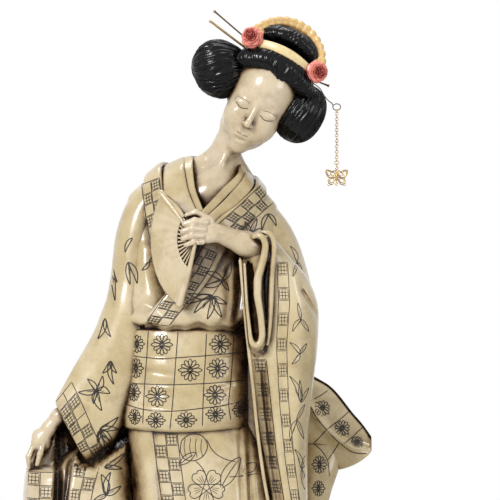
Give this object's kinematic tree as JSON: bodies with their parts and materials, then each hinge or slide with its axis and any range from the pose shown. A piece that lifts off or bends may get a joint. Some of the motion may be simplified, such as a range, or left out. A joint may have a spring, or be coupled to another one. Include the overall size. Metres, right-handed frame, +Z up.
{
  "type": "kimono figurine",
  "caption": "Tall standing figurine of a woman in a kimono, cast in ivory-coloured resin, holding an open fan, with hair ornaments and a hanging butterfly charm.",
  "frame": {"origin": "centre of the flat underside of the skirt, on the surface that the figurine stands on", "axes": "+Z up along the figurine, the figurine faces -Y, +X to the viewer's right"},
  "size_m": [0.1923, 0.1191, 0.5035],
  "materials": {
    "ivory_resin": "satin cast resin with dark wash in the recesses",
    "hair_black": "glossy black paint over combed grooves",
    "amber_comb": "glossy amber and cream paint",
    "coral_rose": "painted coral with darker recesses",
    "brass": "bright gold-coloured plate",
    "bronze": "dark bronzed metal"
  },
  "bodies": {
    "figurine": {"figure": "ivory_resin", "comb": "amber_comb", "rose_left": "coral_rose", "rose_right": "coral_rose", "hairpin_upper_left": "bronze", "hairpin_lower_left": "brass", "hairpin_right": "bronze", "drop_wire": "bronze"},
    "first_link": {"link_01": "brass"},
    "upper_chain": {"link_02": "brass", "link_03": "brass", "link_04": "brass", "link_05": "brass", "link_06": "brass", "link_07": "brass", "link_08": "brass", "link_09": "brass", "link_10": "brass"},
    "lower_chain": {"link_11": "brass", "link_12": "brass", "link_13": "brass", "link_14": "brass", "link_15": "brass", "link_16": "brass", "link_17": "brass", "link_18": "brass", "link_19": "brass", "ring_large": "brass", "ring_small": "brass"},
    "butterfly": {"butterfly_charm": "brass"}
  },
  "joints": [
    {"name": "chain_nod", "type": "hinge", "parent": "figurine", "child": "first_link", "pos_m": [0.07765, -0.015, 0.44825], "axis": [1, 0, 0], "range_deg": [-35, 35]},
    {"name": "chain_swing", "type": "hinge", "parent": "first_link", "child": "upper_chain", "pos_m": [0.07765, -0.015, 0.44684], "axis": [0, -1, 0], "range_deg": [-15, 60]},
    {"name": "chain_bend", "type": "hinge", "parent": "upper_chain", "child": "lower_chain", "pos_m": [0.07765, -0.015, 0.43348], "axis": [1, 0, 0], "range_deg": [-30, 30]},
    {"name": "charm_swing", "type": "hinge", "parent": "lower_chain", "child": "butterfly", "pos_m": [0.07765, -0.015, 0.41681], "axis": [0, 1, 0], "range_deg": [-40, 40]}
  ]
}
